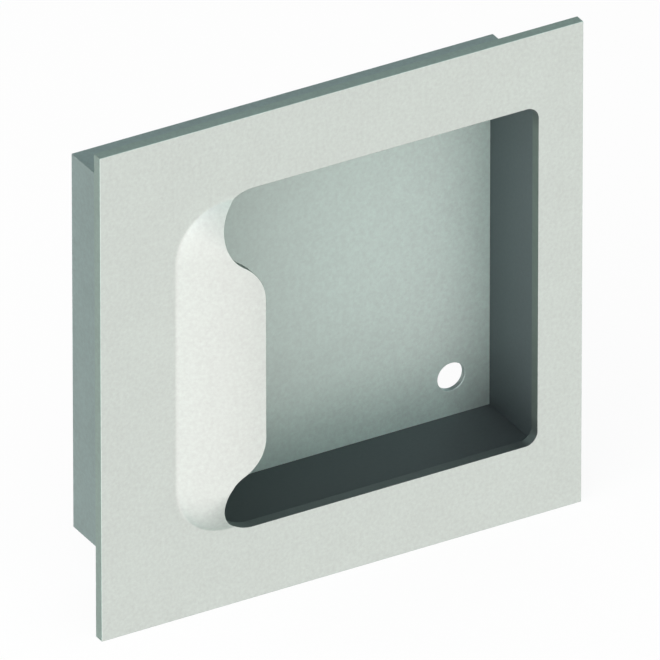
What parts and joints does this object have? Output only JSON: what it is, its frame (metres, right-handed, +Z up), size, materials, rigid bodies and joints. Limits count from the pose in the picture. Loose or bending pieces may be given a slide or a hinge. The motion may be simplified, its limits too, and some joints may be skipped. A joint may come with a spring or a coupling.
{
  "type": "pocket door pull",
  "caption": "Square recessed pull for a sliding pocket door: a steel face plate with a raised finger lip beside a large opening, and a shallow fixing box behind.",
  "frame": {"origin": "centre of the square face plate, on its back face, which is the plane of the door's face when the pull is fitted", "axes": "+Y runs into the door, through the box; +X runs across the plate from the lip towards the fixing holes; +Z is up"},
  "size_m": [0.127, 0.0333, 0.127],
  "materials": {
    "face_plate_steel": "satin, fine blasted grain",
    "back_box_steel": "satin, fine blasted grain"
  },
  "bodies": {
    "root": {"face_plate": "face_plate_steel", "back_box": "back_box_steel"}
  },
  "joints": []
}
